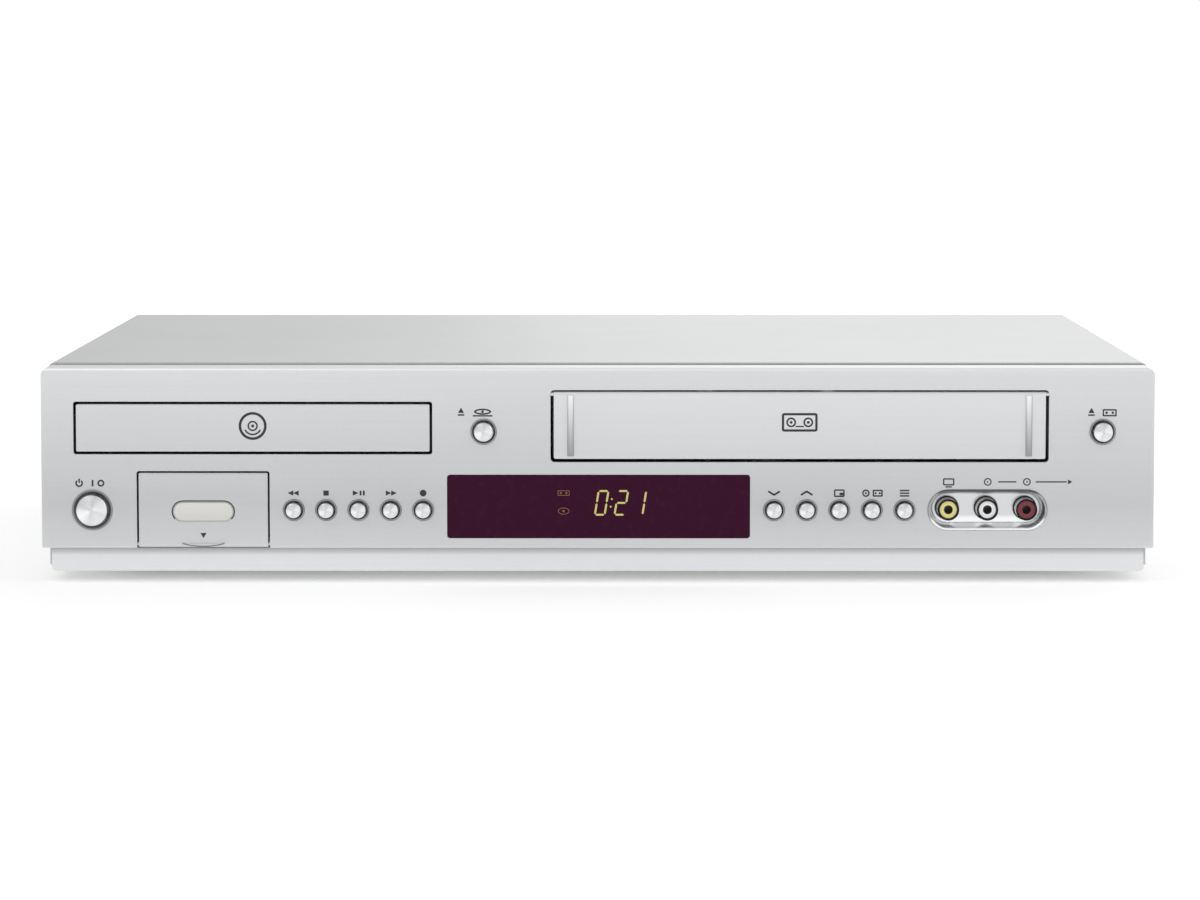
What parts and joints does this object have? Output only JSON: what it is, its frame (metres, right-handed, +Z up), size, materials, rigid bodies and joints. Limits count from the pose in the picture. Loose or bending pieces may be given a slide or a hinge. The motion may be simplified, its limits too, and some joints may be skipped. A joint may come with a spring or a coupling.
{
  "type": "dvd vcr combo player",
  "caption": "Slim silver disc and tape player with a sliding disc tray, cassette flap, card door, push buttons, display window and front and rear sockets.",
  "frame": {"origin": "centre of the bounding box on the surface that the set stands on", "axes": "+X to the right along the front, +Z up, -Y out of the front face"},
  "size_m": [0.43, 0.3432, 0.085],
  "materials": {
    "silver_cover": "satin painted steel sheet",
    "silver_front": "satin metallic silver paint on moulded plastic",
    "pale_silver": "satin pale silver paint on moulded plastic",
    "button_metal": "spun satin metallic cap",
    "ring_chrome": "bright plated ring",
    "recess_chrome": "satin plated dish",
    "zinc_steel": "zinc-plated sheet steel",
    "motor_steel": "plated motor can",
    "bright_steel": "ground bright steel",
    "drum_metal": "turned aluminium",
    "screw_black": "blackened steel",
    "foot_rubber": "matte rubber",
    "belt_rubber": "matte rubber",
    "window_smoke": "dark maroon tinted clear plastic",
    "dark_moulding": "fine-textured dark moulding",
    "gear_white": "natural acetal",
    "board_green": "soldered circuit board",
    "board_brown": "phenolic circuit board",
    "insert_yellow": "yellow moulding",
    "insert_white": "white moulding",
    "insert_red": "dark red moulding"
  },
  "bodies": {
    "casing": {"top_cover": "silver_cover", "front_panel": "silver_front", "front_skirt": "pale_silver", "button_rings": "ring_chrome", "jack_surround": "recess_chrome", "chassis_pan": "zinc_steel", "rear_panel": "zinc_steel", "clamp_bridge": "zinc_steel", "deck_plate": "zinc_steel", "carriage_frame": "zinc_steel", "tuner_module": "zinc_steel", "loader_motor": "motor_steel", "loading_motor": "motor_steel", "front_jack_shells": "bright_steel", "drum_base": "drum_metal", "case_screws": "screw_black", "feet": "foot_rubber", "loader_belt": "belt_rubber", "display_window": "window_smoke", "loader_frame": "dark_moulding", "card_reader": "dark_moulding", "rear_jacks": "dark_moulding", "mains_inlet": "dark_moulding", "main_board": "board_green", "front_boards": "board_green", "power_board": "board_brown", "video_insert": "insert_yellow", "left_audio_insert": "insert_white", "right_audio_insert": "insert_red"},
    "power_button_body": {"power_button": "button_metal"},
    "rewind_button_body": {"rewind_button": "button_metal"},
    "stop_button_body": {"stop_button": "button_metal"},
    "play_button_body": {"play_button": "button_metal"},
    "fast_forward_button_body": {"fast_forward_button": "button_metal"},
    "record_button_body": {"record_button": "button_metal"},
    "channel_down_button_body": {"channel_down_button": "button_metal"},
    "channel_up_button_body": {"channel_up_button": "button_metal"},
    "view_button_body": {"view_button": "button_metal"},
    "source_button_body": {"source_button": "button_metal"},
    "scan_button_body": {"scan_button": "button_metal"},
    "tray_open_button_body": {"tray_open_button": "button_metal"},
    "eject_button_body": {"eject_button": "button_metal"},
    "tray_body": {"disc_tray": "dark_moulding", "tray_door": "silver_front"},
    "tray_gear_body": {"tray_gear": "gear_white"},
    "pulley_gear_body": {"pulley_gear": "gear_white"},
    "motor_pulley_body": {"motor_pulley": "gear_white"},
    "card_door_body": {"card_door": "silver_front"},
    "cassette_door_body": {"cassette_door": "silver_front"},
    "traverse_body": {"traverse_frame": "zinc_steel", "pickup_rails": "bright_steel"},
    "turntable_body": {"turntable": "dark_moulding"},
    "pickup_body": {"optical_pickup": "dark_moulding"},
    "clamp_body": {"disc_clamp": "dark_moulding"},
    "holder_body": {"cassette_holder": "zinc_steel"},
    "drum_body": {"drum_rotor": "drum_metal"},
    "capstan_body": {"capstan": "bright_steel"},
    "pinch_body": {"pinch_arm": "dark_moulding"},
    "supply_reel_body": {"supply_reel": "dark_moulding"},
    "takeup_reel_body": {"takeup_reel": "dark_moulding"}
  },
  "joints": [
    {"name": "power_press", "type": "slide", "parent": "casing", "child": "power_button_body", "axis": [0, 1, 0], "range_m": [0, 0.0008], "stiffness_N_per_m": 400},
    {"name": "rewind_press", "type": "slide", "parent": "casing", "child": "rewind_button_body", "axis": [0, 1, 0], "range_m": [0, 0.0008], "stiffness_N_per_m": 400},
    {"name": "stop_press", "type": "slide", "parent": "casing", "child": "stop_button_body", "axis": [0, 1, 0], "range_m": [0, 0.0008], "stiffness_N_per_m": 400},
    {"name": "play_press", "type": "slide", "parent": "casing", "child": "play_button_body", "axis": [0, 1, 0], "range_m": [0, 0.0008], "stiffness_N_per_m": 400},
    {"name": "fast_forward_press", "type": "slide", "parent": "casing", "child": "fast_forward_button_body", "axis": [0, 1, 0], "range_m": [0, 0.0008], "stiffness_N_per_m": 400},
    {"name": "record_press", "type": "slide", "parent": "casing", "child": "record_button_body", "axis": [0, 1, 0], "range_m": [0, 0.0008], "stiffness_N_per_m": 400},
    {"name": "channel_down_press", "type": "slide", "parent": "casing", "child": "channel_down_button_body", "axis": [0, 1, 0], "range_m": [0, 0.0008], "stiffness_N_per_m": 400},
    {"name": "channel_up_press", "type": "slide", "parent": "casing", "child": "channel_up_button_body", "axis": [0, 1, 0], "range_m": [0, 0.0008], "stiffness_N_per_m": 400},
    {"name": "view_press", "type": "slide", "parent": "casing", "child": "view_button_body", "axis": [0, 1, 0], "range_m": [0, 0.0008], "stiffness_N_per_m": 400},
    {"name": "source_press", "type": "slide", "parent": "casing", "child": "source_button_body", "axis": [0, 1, 0], "range_m": [0, 0.0008], "stiffness_N_per_m": 400},
    {"name": "scan_press", "type": "slide", "parent": "casing", "child": "scan_button_body", "axis": [0, 1, 0], "range_m": [0, 0.0008], "stiffness_N_per_m": 400},
    {"name": "tray_open_press", "type": "slide", "parent": "casing", "child": "tray_open_button_body", "axis": [0, 1, 0], "range_m": [0, 0.0008], "stiffness_N_per_m": 400},
    {"name": "eject_press", "type": "slide", "parent": "casing", "child": "eject_button_body", "axis": [0, 1, 0], "range_m": [0, 0.0008], "stiffness_N_per_m": 400},
    {"name": "tray_slide", "type": "slide", "parent": "casing", "child": "tray_body", "axis": [0, -1, 0], "range_m": [0, 0.143]},
    {"name": "tray_gear_spin", "type": "hinge", "parent": "casing", "child": "tray_gear_body", "pos_m": [-0.08585, -0.1491, 0.0535], "axis": [0, 0, 1], "range_deg": [0, 730]},
    {"name": "pulley_gear_spin", "type": "hinge", "parent": "casing", "child": "pulley_gear_body", "pos_m": [-0.081, -0.13099, 0.0535], "axis": [0, 0, 1], "range_deg": [-1094, 0]},
    {"name": "motor_pulley_spin", "type": "hinge", "parent": "casing", "child": "motor_pulley_body", "pos_m": [-0.1131, -0.1441, 0.0535], "axis": [0, 0, 1], "range_deg": [-3969, 0]},
    {"name": "card_door_hinge", "type": "hinge", "parent": "casing", "child": "card_door_body", "pos_m": [-0.1524, -0.1668, 0.0158], "axis": [1, 0, 0], "range_deg": [0, 90]},
    {"name": "cassette_door_hinge", "type": "hinge", "parent": "casing", "child": "cassette_door_body", "pos_m": [0.078, -0.1671, 0.0739], "axis": [1, 0, 0], "range_deg": [0, 88], "stiffness_Nm_per_rad": 0.004},
    {"name": "traverse_lift", "type": "hinge", "parent": "casing", "child": "traverse_body", "pos_m": [-0.1331, -0.0036, 0.04025], "axis": [-1, 0, 0], "range_deg": [0, 4.5]},
    {"name": "turntable_spin", "type": "hinge", "parent": "traverse_body", "child": "turntable_body", "pos_m": [-0.1331, -0.0871, 0.0565], "axis": [0, 0, 1], "continuous": true},
    {"name": "pickup_slide", "type": "slide", "parent": "traverse_body", "child": "pickup_body", "axis": [0, 1, 0], "range_m": [0, 0.034]},
    {"name": "clamp_spin", "type": "hinge", "parent": "casing", "child": "clamp_body", "pos_m": [-0.1331, -0.0871, 0.0565], "axis": [0, 0, 1], "continuous": true},
    {"name": "holder_slide", "type": "slide", "parent": "casing", "child": "holder_body", "axis": [0, 1, 0], "range_m": [0, 0.056]},
    {"name": "drum_spin", "type": "hinge", "parent": "casing", "child": "drum_body", "pos_m": [0.072, 0.0349, 0.0256], "axis": [0, 0.104, 0.9946], "continuous": true},
    {"name": "capstan_spin", "type": "hinge", "parent": "casing", "child": "capstan_body", "pos_m": [0.126, 0.0099, 0.0216], "axis": [0, 0, 1], "continuous": true},
    {"name": "pinch_arm_swing", "type": "hinge", "parent": "casing", "child": "pinch_body", "pos_m": [0.148, 0.0159, 0.0216], "axis": [0, 0, 1], "range_deg": [0, 30]},
    {"name": "supply_reel_spin", "type": "hinge", "parent": "casing", "child": "supply_reel_body", "pos_m": [0.032, -0.0581, 0.0216], "axis": [0, 0, 1], "continuous": true},
    {"name": "takeup_reel_spin", "type": "hinge", "parent": "casing", "child": "takeup_reel_body", "pos_m": [0.124, -0.0581, 0.0216], "axis": [0, 0, 1], "continuous": true}
  ],
  "couplings": [
    {"joint": "tray_gear_spin", "follows": "tray_slide", "rad_per_m": 88.889},
    {"joint": "pulley_gear_spin", "follows": "tray_slide", "rad_per_m": -133.33},
    {"joint": "motor_pulley_spin", "follows": "tray_slide", "rad_per_m": -484.21}
  ]
}
